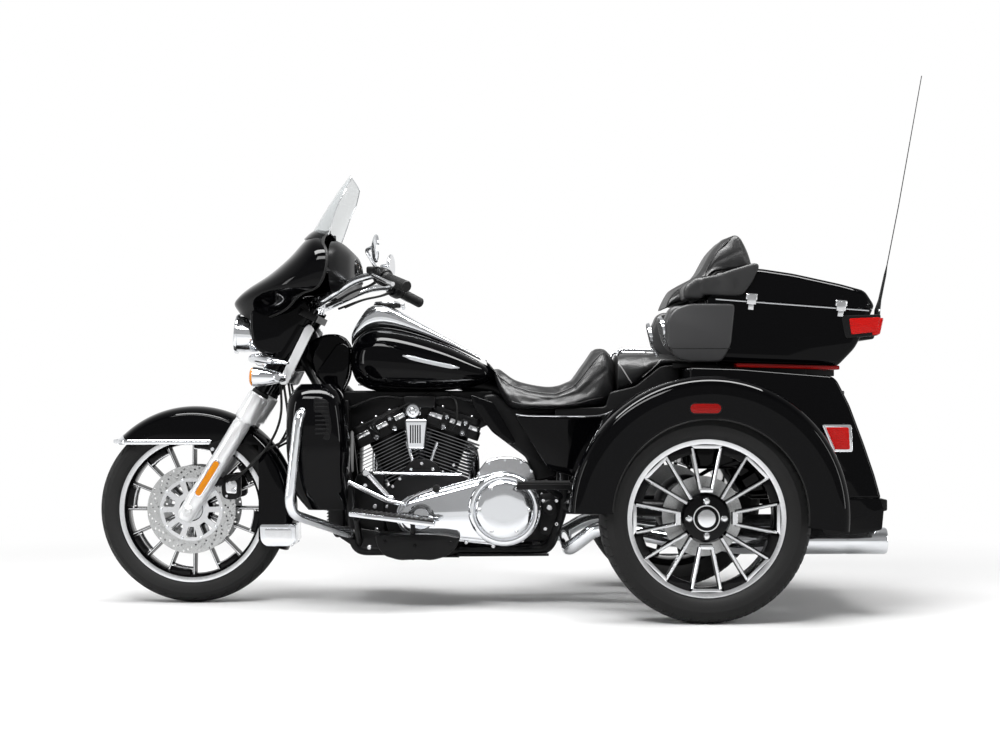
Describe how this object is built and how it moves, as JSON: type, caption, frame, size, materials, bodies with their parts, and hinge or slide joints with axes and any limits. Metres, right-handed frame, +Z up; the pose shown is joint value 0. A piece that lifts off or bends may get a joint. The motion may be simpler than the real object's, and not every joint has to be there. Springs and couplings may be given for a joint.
{
  "type": "motorized trike",
  "caption": "Three-wheeled touring motorcycle with fork-mounted fairing, V-twin engine, two-up seat, rear trunk body with fenders, and a hinged top case with backrest and antenna.",
  "frame": {"origin": "on the ground below the middle of the bounding box", "axes": "+X forward, +Y to the rider's left, +Z up"},
  "size_m": [2.755, 1.39, 1.7613],
  "materials": {
    "frame": "semi-gloss black enamel",
    "engine_case": "black wrinkle coat",
    "cylinders": "black with bright fin edges",
    "primary_cover": "polished",
    "air_cleaner": "polished",
    "horn_cover": "polished",
    "exhaust": "polished",
    "rear_axle": "satin black",
    "fuel_tank": "gloss black",
    "console": "polished",
    "fuel_door": "polished",
    "rider_seat": "smooth grain",
    "passenger_seat": "smooth grain",
    "side_covers": "gloss black",
    "trunk": "gloss black",
    "trunk_door": "gloss black",
    "fender_left": "gloss black",
    "fender_right": "gloss black",
    "rear_lamps": "clear red",
    "case_base": "gloss black",
    "case_lid": "gloss black",
    "backrest": "smooth grain",
    "speaker_pods": "satin grey black",
    "antenna": "matte",
    "lower_fairings": "gloss black",
    "engine_guard": "polished",
    "rider_boards": "ribbed",
    "passenger_board_left": "ribbed",
    "passenger_board_right": "ribbed",
    "fork": "polished",
    "front_fender": "gloss black",
    "fairing": "gloss black",
    "windshield": "clear",
    "dash": "matte",
    "front_lamps": "polished",
    "handlebar": "satin black",
    "mirrors": "polished",
    "front_brakes": "satin black",
    "front_tyre": "matte",
    "front_rim": "machined and black",
    "rear_tyre_left": "matte",
    "rear_rim_left": "machined and black",
    "rear_tyre_right": "matte",
    "rear_rim_right": "machined and black"
  },
  "bodies": {
    "chassis": {"frame": "frame", "engine_case": "engine_case", "cylinders": "cylinders", "primary_cover": "primary_cover", "air_cleaner": "air_cleaner", "horn_cover": "horn_cover", "exhaust": "exhaust", "rear_axle": "rear_axle", "fuel_tank": "fuel_tank", "console": "console", "rider_seat": "rider_seat", "passenger_seat": "passenger_seat", "side_covers": "side_covers", "trunk": "trunk", "fender_left": "fender_left", "fender_right": "fender_right", "rear_lamps": "rear_lamps", "case_base": "case_base", "speaker_pods": "speaker_pods", "antenna": "antenna", "lower_fairings": "lower_fairings", "engine_guard": "engine_guard", "rider_boards": "rider_boards"},
    "steering": {"fork": "fork", "front_fender": "front_fender", "fairing": "fairing", "windshield": "windshield", "dash": "dash", "front_lamps": "front_lamps", "handlebar": "handlebar", "mirrors": "mirrors", "front_brakes": "front_brakes"},
    "front_wheel": {"front_tyre": "front_tyre", "front_rim": "front_rim"},
    "rear_wheel_left": {"rear_tyre_left": "rear_tyre_left", "rear_rim_left": "rear_rim_left"},
    "rear_wheel_right": {"rear_tyre_right": "rear_tyre_right", "rear_rim_right": "rear_rim_right"},
    "top_case_lid": {"case_lid": "case_lid", "backrest": "backrest"},
    "trunk_lid": {"trunk_door": "trunk_door"},
    "filler_door": {"fuel_door": "fuel_door"},
    "footboard_left": {"passenger_board_left": "passenger_board_left"},
    "footboard_right": {"passenger_board_right": "passenger_board_right"}
  },
  "joints": [
    {"name": "steering", "type": "hinge", "parent": "chassis", "child": "steering", "pos_m": [0.74243, 0, 0.85], "axis": [-0.4384, 0, 0.8988], "range_deg": [-35, 35]},
    {"name": "front_wheel_turn", "type": "hinge", "parent": "steering", "child": "front_wheel", "pos_m": [1.058, 0, 0.3195], "axis": [0, 1, 0], "continuous": true},
    {"name": "rear_wheel_left_turn", "type": "hinge", "parent": "chassis", "child": "rear_wheel_left", "pos_m": [-0.622, 0.556, 0.3253], "axis": [0, 1, 0], "continuous": true},
    {"name": "rear_wheel_right_turn", "type": "hinge", "parent": "chassis", "child": "rear_wheel_right", "pos_m": [-0.622, -0.556, 0.3253], "axis": [0, 1, 0], "continuous": true},
    {"name": "case_lid_hinge", "type": "hinge", "parent": "chassis", "child": "top_case_lid", "pos_m": [-0.93, -0.306, 1.0065], "axis": [0.9972, 0, 0.0745], "range_deg": [0, 65]},
    {"name": "trunk_door_hinge", "type": "hinge", "parent": "chassis", "child": "trunk_lid", "pos_m": [-1.202, 0, 0.388], "axis": [0, -1, 0], "range_deg": [0, 80]},
    {"name": "fuel_door_hinge", "type": "hinge", "parent": "chassis", "child": "filler_door", "pos_m": [0.356, 0, 1.022], "axis": [0, -1, 0], "range_deg": [0, 80]},
    {"name": "footboard_left_fold", "type": "hinge", "parent": "chassis", "child": "footboard_left", "pos_m": [-0.133, 0.255, 0.426], "axis": [1, 0, 0], "range_deg": [0, 80]},
    {"name": "footboard_right_fold", "type": "hinge", "parent": "chassis", "child": "footboard_right", "pos_m": [-0.133, -0.255, 0.426], "axis": [-1, 0, 0], "range_deg": [0, 80]}
  ]
}
